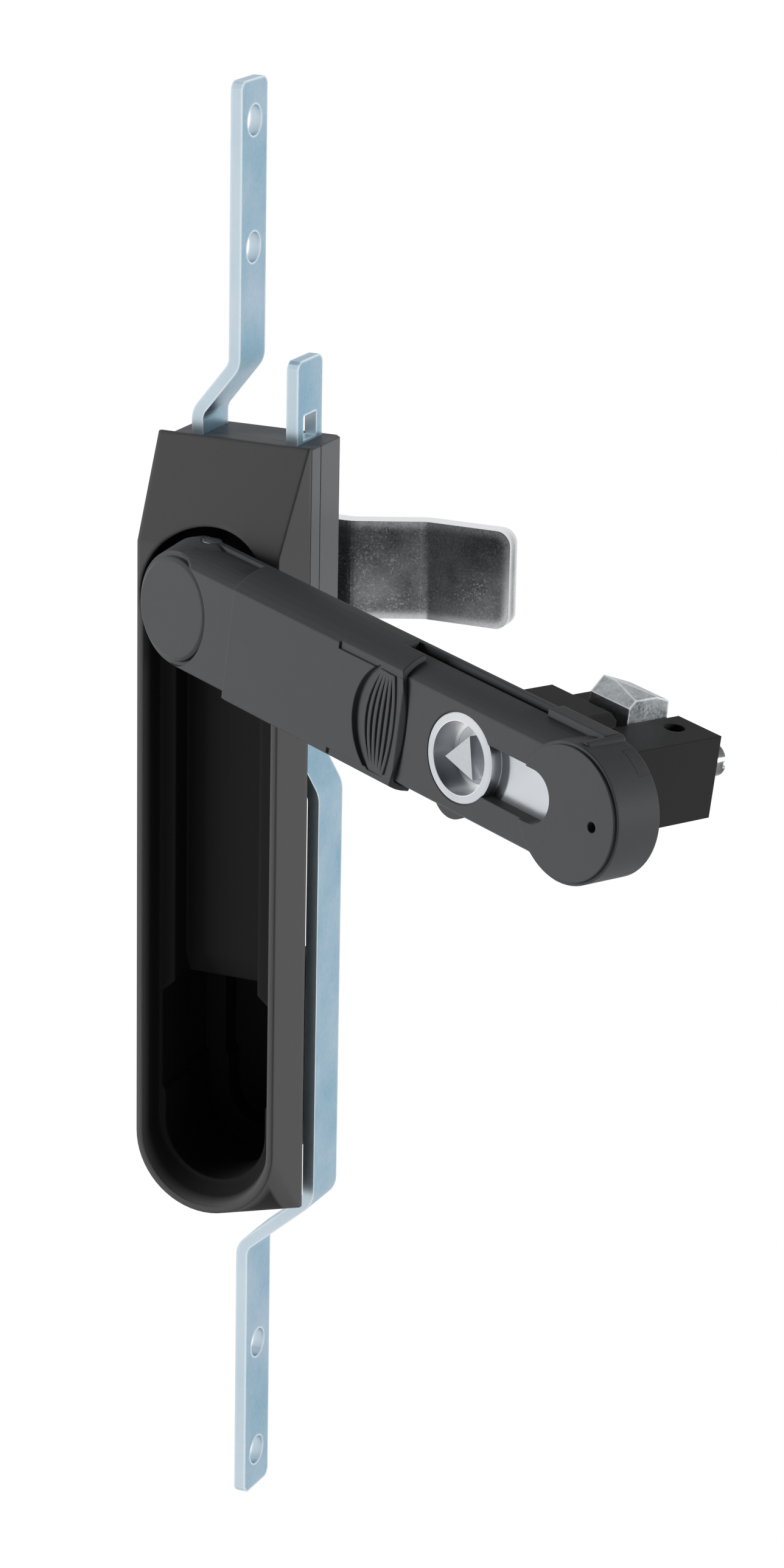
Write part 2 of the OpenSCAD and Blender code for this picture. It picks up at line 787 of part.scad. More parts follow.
module slide_cover() {
    u1 = cover_u0 + cover_l;
    top_n = front_n + slide_gap + cover_t;
    wall = 1.2;
    outer = side_curve(front_w / 2 + 0.8, side_half + slide_gap + wall, top_n, groove_n0 + slide_gap);
    inner = side_curve(front_w / 2 + slide_gap, side_half + slide_gap, front_n + slide_gap,
        groove_n1 - slide_gap);
    lip = [[groove_half + slide_gap, -groove_n1 + slide_gap], [groove_half + slide_gap, -groove_n0 - slide_gap]];
    scoop_r = 12.3;
    scoop_u = u1 - 1;
    scoop_n = top_n - cover_t + 0.25;
    ridge_step = (scoop_r - 2.7) / ridges;
    end_r = 39;
    slant = 3;
    color("#3d3f42")
        opened()
            union() {
                difference() {
                    translate([0, 0, -u1])
                        linear_extrude(cover_l + slant)
                            polygon(concat(outer, lip_points(lip, inner), mirror_points(outer)));
                    // The start is slanted, further up the handle at the back than at the front
                    rotate([90, 0, 90])
                        linear_extrude(40, center = true)
                            polygon([[-top_n, -cover_u0], [-back_n, -cover_u0 + slant],
                                [-back_n, -cover_u0 + 9], [-top_n - cut, -cover_u0 + 9], [-top_n - cut, -cover_u0]]);
                    // The end is bowed, and its sides are cut back to show the groove
                    layer(-2, top_n + cut)
                        difference() {
                            translate([-20, -u1 - 1])
                                square([40, 10]);
                            translate([0, -u1 + end_r])
                                circle(r = end_r, $fn = 200);
                        }
                    for (s = [-1, 1]) {
                        block(s * 12.5 - 3, s * 12.5 + 3, u1 - 8.4, u1 + cut, -cut, 4.2);
                        // A shallow step in the front's edges, beside the scoop
                        block(s * 11 - 1.3, s * 11 + 1.3, cover_u0 + 31, u1 + cut, top_n - 0.45, top_n + cut);
                    }
                    // The scoop's steep wall is a round cut, its floor rises to the cover's end
                    intersection() {
                        post(scoop_n - cut, top_n + cut, scoop_r, scoop_r, scoop_u);
                        translate([-front_w, -scoop_n, -scoop_u + scoop_r])
                            rotate([-3.4, 0, 0])
                                translate([0, -4, -2 * scoop_r])
                                    cube([2 * front_w, 4, 2 * scoop_r + cut]);
                        block(-front_w / 2 - 0.2, front_w / 2 + 0.2, cover_u0, u1 + cut, 0, top_n + cut);
                    }
                    // The front wall's end is bevelled
                    translate([-front_w, -top_n - 0.1, -u1 - 0.1])
                        rotate([45, 0, 0])
                            translate([0, -1, -1])
                                cube([2 * front_w, 2, 2]);
                }
                intersection() {
                    post(scoop_n - 0.1, top_n, scoop_r, scoop_r, scoop_u);
                    block(-front_w / 2 + 0.4, front_w / 2 - 0.4, cover_u0, u1 - 1.6, 0, top_n);
                    union()
                        for (i = [0:ridges - 1]) {
                            du = 2.4 + i * ridge_step;
                            layer(scoop_n - 0.1, min(scoop_n + 0.45 + 0.06 * du, top_n - 0.1))
                                polygon(bow_strip(scoop_u - scoop_r + du, ridge_step * 0.5,
                                    0.07 - 0.095 * i / (ridges - 1), front_w / 2));
                        }
                }
            }
}

// The inside of the cover's section, from the right lip round to the left one
function lip_points(lip, inner) = concat(
    [lip[1], lip[0]], [for (i = [len(inner) - 1:-1:0]) inner[i]],
    [for (p = inner) [-p.x, p.y]], [[-lip[0].x, lip[0].y], [-lip[1].x, lip[1].y]]);

function mirror_points(p) = [for (i = [len(p) - 1:-1:0]) [-p[i].x, p[i].y]];

// Lock cylinder, with its round cup and the flag below it
module cylinder_insert() {
    color("#d6d9dc")
        opened()
            difference() {
                union() {
                    post(insert_back, insert_n - 0.3, lock_r, lock_r, lock_u);
                    post(insert_n - 0.3, insert_n, lock_r, lock_r - 0.3, lock_u);
                    layer(insert_back, flag_n)
                        lock_plan(flag_w / 2, flag_w / 2, flag_u1);
                }
                post(cup_n, insert_n + cut, cup_r - 0.6, cup_r, lock_u);
                post(insert_back - cut, cup_n + cut, plug_r + fit_gap, plug_r + fit_gap, lock_u);
            }
}

module key_plug() {
    color("#c9ccd0")
        opened() {
            post(insert_back, cup_n, plug_r, plug_r, lock_u);
            layer(cup_n - 0.1, insert_n - 0.9)
                translate([0, -lock_u])
                    rotate(-14)
                        circle(r = driver_a / sqrt(3), $fn = 3);
            post(crank_n0 - 1.9, insert_back + 0.1, tail_r, tail_r, lock_u);
        }
}

module drive_crank() {
    a = 90 - crank_half_deg;
    plate_t = 1.8;
    color("#a6a9ac")
        opened()
            translate([0, 0, -lock_u])
                rotate([0, a - 90, 0]) {
                    difference() {
                        layer(crank_n0 - plate_t, crank_n0) {
                            circle(r = tail_r + 0.6);
                            translate([-crank_pin_r, -crank_r])
                                square([2 * crank_pin_r, crank_r]);
                            translate([0, -crank_r])
                                circle(r = crank_pin_r);
                        }
                        post(crank_n0 - plate_t - cut, crank_n0 + cut, tail_r, tail_r);
                    }
                    post(bolt_n0 - bolt_tail_t + 0.3, crank_n0 - 0.1, crank_pin_r, crank_pin_r, crank_r);
                }
}

// Lock case behind the handle, with wings that reach under the dish's shoulders
module lock_case() {
    half = case_w / 2;
    inner_foot = -half + 0.8;
    gap = slide_gap;
    color("#2e3033")
        opened()
            difference() {
                union() {
                    block(-wing_w / 2, wing_w / 2, wing_u0, deep_u0 + 0.1, wing_n, back_n);
                    block(-half, half, deep_u0, case_u1, -case_d, back_n);
                    block(-half, mid_top, case_u0, deep_u0 + 0.1, -case_d + 1, wing_n + 0.1);
                }
                // Seat of the lock cylinder
                layer(insert_back - 0.02, back_n + cut)
                    lock_plan(lock_r + 0.02, flag_w / 2 + 0.02, flag_u1 + 0.02);
                post(insert_boss_n - 0.02, back_n + cut, lock_r + 1.52, lock_r + 1.52, lock_u);
                // Run of the key's tail and the crank
                post(crank_n0 - 2.2, insert_back, tail_r + 0.2, tail_r + 0.2, lock_u);
                block(-5, 5, case_u0 - cut, bolt_u0 + 0.7, bolt_n0 - bolt_tail_t - 0.4, crank_n0 + 0.3);
                // Guide of the latch bolt
                block(inner_foot, mid_top + cut, bolt_u0 - gap, bolt_u1 + gap, bolt_n1 - gap, bolt_n0 + gap);
                block(inner_foot, 5, bolt_u0 - 4.2, bolt_u0, bolt_n0 - bolt_tail_t - 0.4, bolt_n0 + gap);
                // Cross hole in the deep part
                translate([0, 24.6, -case_u1 + 6.8])
                    rotate([0, 90, 0])
                        cylinder(h = half + cut, r = 2);
                // Seat of the stud and holes for the case screws
                post(-case_d - cut, -case_d + 6, 3.1, 3.1, case_u1 - 3.9, 1.6);
                for (s = [-1, 1])
                    post(wing_n - cut, back_n + cut, 1.3, 1.3, deep_u0 - 1.6, s * (wing_w / 2 - 1.6));
                // Slanted shoulders of the wings
                for (s = [-1, 1])
                    translate([s * (wing_w / 2), -wing_n, 0])
                        rotate([0, 0, 45])
                            translate([-1.2, -1.2, -deep_u0 - cut])
                                cube([2.4, 2.4, deep_u0 - wing_u0 + 2 * cut]);
            }
}

module case_screws() {
    color("#c9ccd0")
        opened()
            for (s = [-1, 1])
                translate([s * (wing_w / 2 - 1.6), 0, 0])
                    post(wing_n + 1.2, back_n, 1.3, 1.3, deep_u0 - 1.6);
}

module case_stud() {
    u = case_u1 - 3.9;
    w = 1.6;
    color("#d0d3d6")
        opened()
            difference() {
                union() {
                    post(-case_d - 3.2, -case_d + 6, 3.1, 3.1, u, w);
                    post(-case_d - 3.7, -case_d - 3.2, 2.6, 3.1, u, w);
                }
                block(w - 0.5, w + 0.5, u - 4, u + 4, -case_d - 5, -case_d - 2.6);
            }
}

// Latch bolt, a bevelled block that springs out behind the dish's collar
module latch_bolt() {
    nose = 2.8;
    slot_w = crank_r * sin(crank_half_deg);
    slot_half = crank_pin_r + 0.35;
    color("#c3c7ca")
        opened()
            difference() {
                union() {
                    block(bolt_foot, bolt_reach, bolt_u0, bolt_u1, bolt_n1, bolt_n0);
                    block(bolt_foot, 4.6, bolt_u0 - 4, bolt_u0 + 0.1, bolt_n0 - bolt_tail_t, bolt_n0);
                }
                // The nose is bevelled on the side that meets the dish first
                translate([bolt_reach, -bolt_n0, -bolt_u1 - cut])
                    linear_extrude(bolt_u1 - bolt_u0 + 2 * cut)
                        polygon([[cut, -cut], [-nose - cut, -cut], [0, nose], [-nose, 11], [cut, 11]]);
                // The top falls away towards the handle's end
                translate([bolt_reach, -bolt_n0 - cut, -bolt_u1])
                    rotate([-90, 0, 0])
                        linear_extrude(12)
                            polygon([[cut, cut], [cut, -7], [0, -7], [-1.6, cut]]);
                // Slot for the crank pin
                block(slot_w - slot_half, slot_w + slot_half, bolt_u0 - 3.6, bolt_u0 + 0.6,
                    bolt_n0 - bolt_tail_t - cut, bolt_n0 + cut);
                // Pocket for the spring
                translate([bolt_foot - cut, -spring_n, -spring_u])
                    rotate([0, 90, 0])
                        cylinder(h = spring_head - bolt_foot + cut, r = spring_r + spring_wire);
            }
}

// Latch spring, a coil along the bolt's travel
module latch_spring() {
    sides = 6;
    per_turn = 10;
    rings = spring_turns * per_turn;
    length = spring_head - spring_foot - spring_wire;
    centre = function (i) let (a = 360 * i / per_turn)
        [spring_foot + spring_wire / 2 + length * i / rings, spring_r * cos(a), spring_r * sin(a)];
    ring = function (i) let (a = 360 * i / per_turn, c = centre(i))
        [for (k = [0:sides - 1]) let (b = 360 * k / sides)
            c + spring_wire / 2 * [sin(b), cos(b) * cos(a), cos(b) * sin(a)]];
    points = [for (i = [0:rings]) each ring(i)];
    wall = [for (i = [0:rings - 1]) for (k = [0:sides - 1]) let (m = (k + 1) % sides)
        [i * sides + k, i * sides + m, (i + 1) * sides + m, (i + 1) * sides + k]];
    ends = [[for (k = [sides - 1:-1:0]) k], [for (k = [0:sides - 1]) rings * sides + k]];
    color("#b9bcc0")
        opened()
            translate([0, -spring_n, -spring_u])
                polyhedron(points, concat(wall, ends));
}

dish();
lock_well();
gearbox_front();
gearbox_back();
gearbox_screws();
spindle();
pinion();
cam_spacer();
cam_tongue();
cam_washer();
cam_bolt();
upper_rod();
lower_rod();
handle_body();
cross_pin();
slide_cover();
cylinder_insert();
key_plug();
drive_crank();
lock_case();
case_screws();
case_stud();
latch_bolt();
latch_spring();
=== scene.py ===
"""Cabinet handle lock: procedural finishes, the walls of the handle's end, and a studio stage.

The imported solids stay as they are. They get their materials here, from shader groups that read
Object coordinates, so lengths and radii in the groups are in metres of the part's own frame.
"""

import math

import bpy
from mathutils import Matrix, Vector


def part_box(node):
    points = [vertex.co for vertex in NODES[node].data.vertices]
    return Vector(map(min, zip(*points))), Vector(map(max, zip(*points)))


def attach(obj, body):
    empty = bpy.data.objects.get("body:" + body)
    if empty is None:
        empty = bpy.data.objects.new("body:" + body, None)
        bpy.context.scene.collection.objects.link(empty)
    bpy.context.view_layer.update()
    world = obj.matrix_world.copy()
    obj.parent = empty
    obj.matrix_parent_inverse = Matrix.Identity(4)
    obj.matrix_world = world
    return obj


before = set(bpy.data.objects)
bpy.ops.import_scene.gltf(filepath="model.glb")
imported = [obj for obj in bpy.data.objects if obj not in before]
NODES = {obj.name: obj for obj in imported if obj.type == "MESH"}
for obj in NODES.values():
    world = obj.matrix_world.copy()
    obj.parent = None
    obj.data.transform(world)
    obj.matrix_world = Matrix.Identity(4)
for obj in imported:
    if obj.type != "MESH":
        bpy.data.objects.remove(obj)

bl_info = {
    "name": "Cabinet Handle Lock",
    "version": (1, 0, 0),
    "blender": (4, 5, 0),
    "location": "View3D > Sidebar > Handle Lock",
    "description": "Finishes and studio stage for a cabinet handle lock",
    "category": "Object",
}

# The open handle: the middle of its pin, and its directions along, across and out of its front
PIN = Vector((0.0, -0.013, 0.04875))
ALONG = Vector((0.90413, -0.41469, -0.10301))
ACROSS = Vector((0.11320, 0.0, 0.99357))
OUT = ALONG.cross(ACROSS)
# A point on the lock cylinder's axis, and the radius of the cup in its front
LOCK_AXIS = PIN + 0.0847 * ALONG
CUP_RADIUS = 0.0070
# The handle's round end: its centre's distance from the pin, its radius, and the two heights
# along OUT between which its back edge lies
END_CENTRE = 0.1134
END_RADIUS = 0.0129
END_BACK = (-0.001, 0.0021)

# Socket types, plain colours, and the colour sockets of a Mix node
COLOUR = "NodeSocketColor"
VALUE = "NodeSocketFloat"
VECTOR = "NodeSocketVector"
BLACK = (0.0, 0.0, 0.0, 1.0)
WHITE = (1.0, 1.0, 1.0, 1.0)
MIX_FACTOR, MIX_A, MIX_B, MIX_RESULT = 0, 6, 7, 2
BEVEL_SAMPLES = 6


# Shader node helpers


def new_group(name, inputs, outputs):
    """A shader node group with named sockets, and the sockets that its inside starts and ends with.

    Each input is (name, type, default), and each output is (name, type).
    """
    old = bpy.data.node_groups.get(name)
    if old:
        bpy.data.node_groups.remove(old)
    group = bpy.data.node_groups.new(name, "ShaderNodeTree")
    for label, kind, value in inputs:
        socket = group.interface.new_socket(label, in_out="INPUT", socket_type=kind)
        socket.default_value = value
    for label, kind in outputs:
        group.interface.new_socket(label, in_out="OUTPUT", socket_type=kind)
    start = group.nodes.new("NodeGroupInput")
    end = group.nodes.new("NodeGroupOutput")
    return group, start.outputs, end.inputs


def feed(tree, socket, value):
    """Links a socket to another one, or gives it a plain value."""
    if isinstance(value, bpy.types.NodeSocket):
        tree.links.new(value, socket)
    else:
        socket.default_value = value


def calc(tree, operation, a, b=None, clamp=False):
    """The result of a Math node."""
    node = tree.nodes.new("ShaderNodeMath")
    node.operation = operation
    node.use_clamp = clamp
    feed(tree, node.inputs[0], a)
    if b is not None:
        feed(tree, node.inputs[1], b)
    return node.outputs[0]


def rise(tree, a, b, gain):
    """How far a is above b, times a gain, held between 0 and 1."""
    return calc(tree, "MULTIPLY", calc(tree, "SUBTRACT", a, b), gain, clamp=True)


def dot(tree, a, b):
    """The dot product of two vectors."""
    node = tree.nodes.new("ShaderNodeVectorMath")
    node.operation = "DOT_PRODUCT"
    feed(tree, node.inputs[0], a)
    feed(tree, node.inputs[1], b)
    return node.outputs["Value"]


def mix_colour(tree, factor, a, b):
    """Colour a where the factor is 0, and b where it is 1."""
    node = tree.nodes.new("ShaderNodeMix")
    node.data_type = "RGBA"
    feed(tree, node.inputs[MIX_FACTOR], factor)
    feed(tree, node.inputs[MIX_A], a)
    feed(tree, node.inputs[MIX_B], b)
    return node.outputs[MIX_RESULT]


def noise(tree, point, scale, detail=2.0, roughness=0.5):
    """Noise from 0 to 1 at a point."""
    node = tree.nodes.new("ShaderNodeTexNoise")
    feed(tree, node.inputs["Vector"], point)
    feed(tree, node.inputs["Scale"], scale)
    node.inputs["Detail"].default_value = detail
    node.inputs["Roughness"].default_value = roughness
    return node.outputs["Fac"]


def round_edges(tree, radius):
    """The normal of the surface with its edges rounded to a radius."""
    node = tree.nodes.new("ShaderNodeBevel")
    node.samples = BEVEL_SAMPLES
    feed(tree, node.inputs["Radius"], radius)
    return node.outputs["Normal"]


def bump(tree, strength, height, distance, normal=None):
    """The normal with a relief that is as deep as the distance where the height is 1."""
    node = tree.nodes.new("ShaderNodeBump")
    node.inputs["Distance"].default_value = distance
    feed(tree, node.inputs["Strength"], strength)
    feed(tree, node.inputs["Height"], height)
    if normal is not None:
        feed(tree, node.inputs["Normal"], normal)
    return node.outputs["Normal"]


# Shader node groups


def grain_group():
    """Grain of a powder coat or a moulding, in colour, gloss and relief, with soft edges."""
    group, given, result = new_group(
        "Fine Grain",
        [("Color", COLOUR, (0.1, 0.1, 0.1, 1)), ("Variation", VALUE, 0.1), ("Scale", VALUE, 2500.0),
         ("Roughness", VALUE, 0.5), ("Bump", VALUE, 0.2), ("Edge Radius", VALUE, 0.0005)],
        [("Color", COLOUR), ("Roughness", VALUE), ("Normal", VECTOR)])
    patch_scale, roughness_shift, lighter, relief = 60.0, 0.6, 0.25, 0.0001
    point = group.nodes.new("ShaderNodeTexCoord").outputs["Object"]
    patches = noise(group, point, patch_scale, detail=3.0)
    fine = noise(group, point, given["Scale"], roughness=0.6)
    shift = calc(group, "MULTIPLY", calc(group, "SUBTRACT", patches, 0.5), given["Variation"])
    factor = calc(group, "ADD", calc(group, "MULTIPLY", shift, 2.0), 0.5, clamp=True)
    dark = mix_colour(group, given["Variation"], given["Color"], BLACK)
    less = calc(group, "MULTIPLY", given["Variation"], lighter)
    light = mix_colour(group, less, given["Color"], WHITE)
    feed(group, result["Color"], mix_colour(group, factor, dark, light))
    uneven = calc(group, "MULTIPLY", shift, roughness_shift)
    feed(group, result["Roughness"], calc(group, "ADD", given["Roughness"], uneven, clamp=True))
    soft = round_edges(group, given["Edge Radius"])
    feed(group, result["Normal"], bump(group, given["Bump"], fine, relief, soft))
    return group


def plating_group():
    """Zinc plating: two tints in soft clouds, and spangle cells in colour, gloss and relief."""
    group, given, result = new_group(
        "Zinc Plating",
        [("Color", COLOUR, (0.6, 0.6, 0.6, 1)), ("Tint", COLOUR, (0.5, 0.5, 0.6, 1)),
         ("Cloud Scale", VALUE, 40.0), ("Spangle", VALUE, 0.1), ("Spangle Scale", VALUE, 900.0),
         ("Roughness", VALUE, 0.3), ("Bump", VALUE, 0.1)],
        [("Color", COLOUR), ("Roughness", VALUE), ("Normal", VECTOR)])
    cloud_contrast, relief, dark_spangle = 3.0, 0.00012, (0.02, 0.02, 0.02, 1)
    point = group.nodes.new("ShaderNodeTexCoord").outputs["Object"]
    cloud = calc(group, "SUBTRACT", noise(group, point, given["Cloud Scale"], detail=3.0), 0.5)
    cloud = calc(group, "ADD", calc(group, "MULTIPLY", cloud, cloud_contrast), 0.5, clamp=True)
    cells = group.nodes.new("ShaderNodeTexVoronoi")
    feed(group, cells.inputs["Vector"], point)
    feed(group, cells.inputs["Scale"], given["Spangle Scale"])
    split = group.nodes.new("ShaderNodeSeparateColor")
    feed(group, split.inputs[0], cells.outputs["Color"])
    # Each cell has three random numbers: how light, how dark and how rough it is
    lightness, darkness, coarseness = split.outputs
    colour = mix_colour(group, cloud, given["Color"], given["Tint"])
    for amount, cell_colour in ((lightness, WHITE), (darkness, dark_spangle)):
        amount = calc(group, "MULTIPLY", given["Spangle"], amount)
        colour = mix_colour(group, amount, colour, cell_colour)
    feed(group, result["Color"], colour)
    uneven = calc(group, "MULTIPLY", calc(group, "SUBTRACT", coarseness, 0.5), given["Spangle"])
    feed(group, result["Roughness"], calc(group, "ADD", given["Roughness"], uneven, clamp=True))
    feed(group, result["Normal"], bump(group, given["Bump"], lightness, relief))
    return group


def highlight_group():
    """Mask of painted highlights along edges, uneven in patches, and on faces that point one way.
    """
    group, given, result = new_group(
        "Painted Edge Highlights",
        [("Radius", VALUE, 0.001), ("Face", VECTOR, (0, 0, 0)), ("Face Amount", VALUE, 0.6)],
        [("Mask", VALUE)])
    edge_gain, patchiness_scale = 9.0, 260.0
    coord = group.nodes.new("ShaderNodeTexCoord").outputs
    flat = group.nodes.new("ShaderNodeNewGeometry").outputs["True Normal"]
    turn = calc(group, "SUBTRACT", 1.0, dot(group, round_edges(group, given["Radius"]), flat))
    patchiness = calc(group, "ADD", noise(group, coord["Object"], patchiness_scale, detail=3.0), 0.5)
    edge = calc(group, "MULTIPLY", calc(group, "MULTIPLY", turn, edge_gain), patchiness, clamp=True)
    facing = calc(group, "ABSOLUTE", dot(group, coord["Normal"], given["Face"]))
    face = calc(group, "MULTIPLY", facing, given["Face Amount"])
    feed(group, result["Mask"], calc(group, "MAXIMUM", edge, face, clamp=True))
    return group


def cup_reflection_group():
    """Mask of painted reflection fans in the lock's cup, and of a band of painted shade in the
    plate round its stem.
    """
    group, given, result = new_group(
        "Painted Cup Reflection",
        [("Centre", VECTOR, (0, 0, 0)), ("Across", VECTOR, (1, 0, 0)),
         ("Along", VECTOR, (0, 0, 1)), ("Radius", VALUE, CUP_RADIUS), ("Phase", VALUE, 0.0),
         ("Stem Radius", VALUE, 0.0085), ("Shade Radius", VALUE, 0.0108), ("Shade", VALUE, 0.9),
         ("Fan", VALUE, 0.38)],
        [("Mask", VALUE)])
    fans, fan_depth, fan_middle = 2.0, 0.6, 0.45
    cup_gain, stem_gain, shade_gain = 4000.0, 9000.0, 2600.0
    point = group.nodes.new("ShaderNodeTexCoord").outputs["Object"]
    offset = group.nodes.new("ShaderNodeVectorMath")
    offset.operation = "SUBTRACT"
    feed(group, offset.inputs[0], point)
    feed(group, offset.inputs[1], given["Centre"])
    x = dot(group, offset.outputs[0], given["Across"])
    y = dot(group, offset.outputs[0], given["Along"])
    squares = calc(group, "ADD", calc(group, "MULTIPLY", x, x), calc(group, "MULTIPLY", y, y))
    far = calc(group, "SQRT", squares)
    # Painted reflection: light and dark fans round the cup's middle
    angle = calc(group, "MULTIPLY", calc(group, "ARCTAN2", x, y), fans)
    fan = calc(group, "COSINE", calc(group, "ADD", angle, given["Phase"]))
    fan = calc(group, "ADD", calc(group, "MULTIPLY", fan, fan_depth), fan_middle, clamp=True)
    cup = calc(group, "MULTIPLY", fan, rise(group, given["Radius"], far, cup_gain))
    cup = calc(group, "MULTIPLY", cup, given["Fan"])
    # Painted shade: a band in the plate between the stem's radius and the shade radius
    band = calc(group, "MULTIPLY", rise(group, far, given["Stem Radius"], stem_gain),
                rise(group, given["Shade Radius"], far, shade_gain))
    band = calc(group, "MULTIPLY", band, given["Shade"])
    feed(group, result["Mask"], calc(group, "MAXIMUM", cup, band))
    return group


def specks_group():
    """Mask of the small bright marks of a tumbled plating, denser in some patches."""
    group, given, result = new_group(
        "Plating Specks",
        [("Scale", VALUE, 1500.0), ("Threshold", VALUE, 0.6), ("Amount", VALUE, 0.6)],
        [("Mask", VALUE)])
    patch_scale, patch_amount, mark_gain = 170.0, 0.35, 9.0
    point = group.nodes.new("ShaderNodeTexCoord").outputs["Object"]
    fine = noise(group, point, given["Scale"], detail=3.0, roughness=0.65)
    patches = calc(group, "SUBTRACT", noise(group, point, patch_scale), 0.5)
    level = calc(group, "ADD", fine, calc(group, "MULTIPLY", patches, patch_amount))
    mark = rise(group, level, given["Threshold"], mark_gain)
    feed(group, result["Mask"], calc(group, "MULTIPLY", mark, given["Amount"]))
    return group


def recess_shade_group():
    """Mask of the painted shade inside the dish's rim, which slopes back with the hood from Hood Z
    up.
    """
    group, given, result = new_group(
        "Painted Recess Shade",
        [("Half Width", VALUE, 0.0142), ("Rim Y", VALUE, -0.0114), ("Hood Z", VALUE, 0.0593),
         ("Hood Slope", VALUE, 0.61)],
        [("Mask", VALUE)])
    side_gain, depth_gain = 2500.0, 600.0
    split = group.nodes.new("ShaderNodeSeparateXYZ")
    feed(group, split.inputs[0], group.nodes.new("ShaderNodeTexCoord").outputs["Object"])
    x, y, z = split.outputs
    side = rise(group, given["Half Width"], calc(group, "ABSOLUTE", x), side_gain)
    above = calc(group, "MAXIMUM", calc(group, "SUBTRACT", z, given["Hood Z"]), 0.0)
    rim = calc(group, "ADD", given["Rim Y"], calc(group, "MULTIPLY", above, given["Hood Slope"]))
    feed(group, result["Mask"], calc(group, "MULTIPLY", side, rise(group, y, rim, depth_gain)))
    return group


# Materials


def rgba(colour):
    """A colour with full alpha."""
    return (colour[0], colour[1], colour[2], 1.0)


def place_group(tree, group, values):
    """A node that holds a group, with its own values."""
    node = tree.nodes.new("ShaderNodeGroup")
    node.node_tree = group
    for label, value in values.items():
        node.inputs[label].default_value = value
    return node


def new_material(name, group, values, metallic=0.0, specular=0.5, layers=()):
    """A material with one Principled shader, fed by a group that is placed with its own values.

    Each layer is (mask group, its values, colour) and covers what its mask shows.
    """
    old = bpy.data.materials.get(name)
    if old:
        bpy.data.materials.remove(old)
    material = bpy.data.materials.new(name)
    material.use_nodes = True
    tree = material.node_tree
    shader = tree.nodes["Principled BSDF"]
    shader.inputs["Metallic"].default_value = metallic
    shader.inputs["Specular IOR Level"].default_value = specular
    surface = place_group(tree, group, values).outputs
    colour = surface["Color"]
    for mask_group, mask_values, over in layers:
        mask = place_group(tree, mask_group, mask_values)
        colour = mix_colour(tree, mask.outputs["Mask"], colour, rgba(over))
    tree.links.new(colour, shader.inputs["Base Color"])
    tree.links.new(surface["Roughness"], shader.inputs["Roughness"])
    tree.links.new(surface["Normal"], shader.inputs["Normal"])
    return material


def dress(names, material):
    """Puts a material in the slots of CAD nodes."""
    for name in names:
        for slot in NODES[name].material_slots:
            slot.material = material


# Settings


class HL_PG_finish(bpy.types.PropertyGroup):
    """Colours and roughness of the finishes."""

    dish: bpy.props.FloatVectorProperty(
        name="Dish", description="Colour of the dish's powder coat",
        subtype="COLOR", size=3, min=0, max=1, default=(0.065, 0.065, 0.065))
    # Painted shade: a darker colour for the coat inside the dish's rim, standing in for the shade
    # that falls in the recess
    recess_shade: bpy.props.FloatVectorProperty(
        name="Painted Recess Shade", description="Colour of the coat inside the dish",
        subtype="COLOR", size=3, min=0, max=1, default=(0.012, 0.012, 0.0125))
    box: bpy.props.FloatVectorProperty(
        name="Gearbox", description="Colour of the moulded gearbox",
        subtype="COLOR", size=3, min=0, max=1, default=(0.122, 0.127, 0.133))
    case: bpy.props.FloatVectorProperty(
        name="Lock case", description="Colour of the lock case",
        subtype="COLOR", size=3, min=0, max=1, default=(0.014, 0.014, 0.0145))
    handle: bpy.props.FloatVectorProperty(
        name="Handle", description="Colour of the handle's powder coat",
        subtype="COLOR", size=3, min=0, max=1, default=(0.056, 0.057, 0.060))
    cover: bpy.props.FloatVectorProperty(
        name="Cover", description="Colour of the sliding cover",
        subtype="COLOR", size=3, min=0, max=1, default=(0.056, 0.057, 0.060))
    rod: bpy.props.FloatVectorProperty(
        name="Rods", description="Main colour of the rods' blue zinc plating",
        subtype="COLOR", size=3, min=0, max=1, default=(0.20, 0.37, 0.48))
    rod_tint: bpy.props.FloatVectorProperty(
        name="Rod tint", description="Second colour in the rods' plating",
        subtype="COLOR", size=3, min=0, max=1, default=(0.34, 0.46, 0.56))
    cam: bpy.props.FloatVectorProperty(
        name="Cam", description="Colour of the cam's mottled plating",
        subtype="COLOR", size=3, min=0, max=1, default=(0.225, 0.23, 0.235))
    metal: bpy.props.FloatVectorProperty(
        name="Lock metal", description="Colour of the lock cylinder's metal",
        subtype="COLOR", size=3, min=0, max=1, default=(0.68, 0.70, 0.72))
    coat_roughness: bpy.props.FloatProperty(
        name="Coat roughness", description="Roughness of the powder coats", subtype="FACTOR",
        min=0, max=1, default=0.52)


class HL_PG_walls(bpy.types.PropertyGroup):
    """Sizes of the two walls in the back edge of the handle's end."""

    thickness: bpy.props.FloatProperty(
        name="Wall thickness", description="Thickness of each wall", unit="LENGTH",
        min=0.0005, max=0.003, default=0.0012)
    first: bpy.props.FloatProperty(
        name="First angle", description="Where each wall starts, from straight across the handle",
        unit="ROTATION", default=math.radians(19.0))
    last: bpy.props.FloatProperty(
        name="Last angle", description="Where each wall ends, from straight across the handle",
        unit="ROTATION", default=math.radians(44.6))
    steps: bpy.props.IntProperty(
        name="Steps", description="Flat steps in each curved wall", min=2, max=64, default=8)


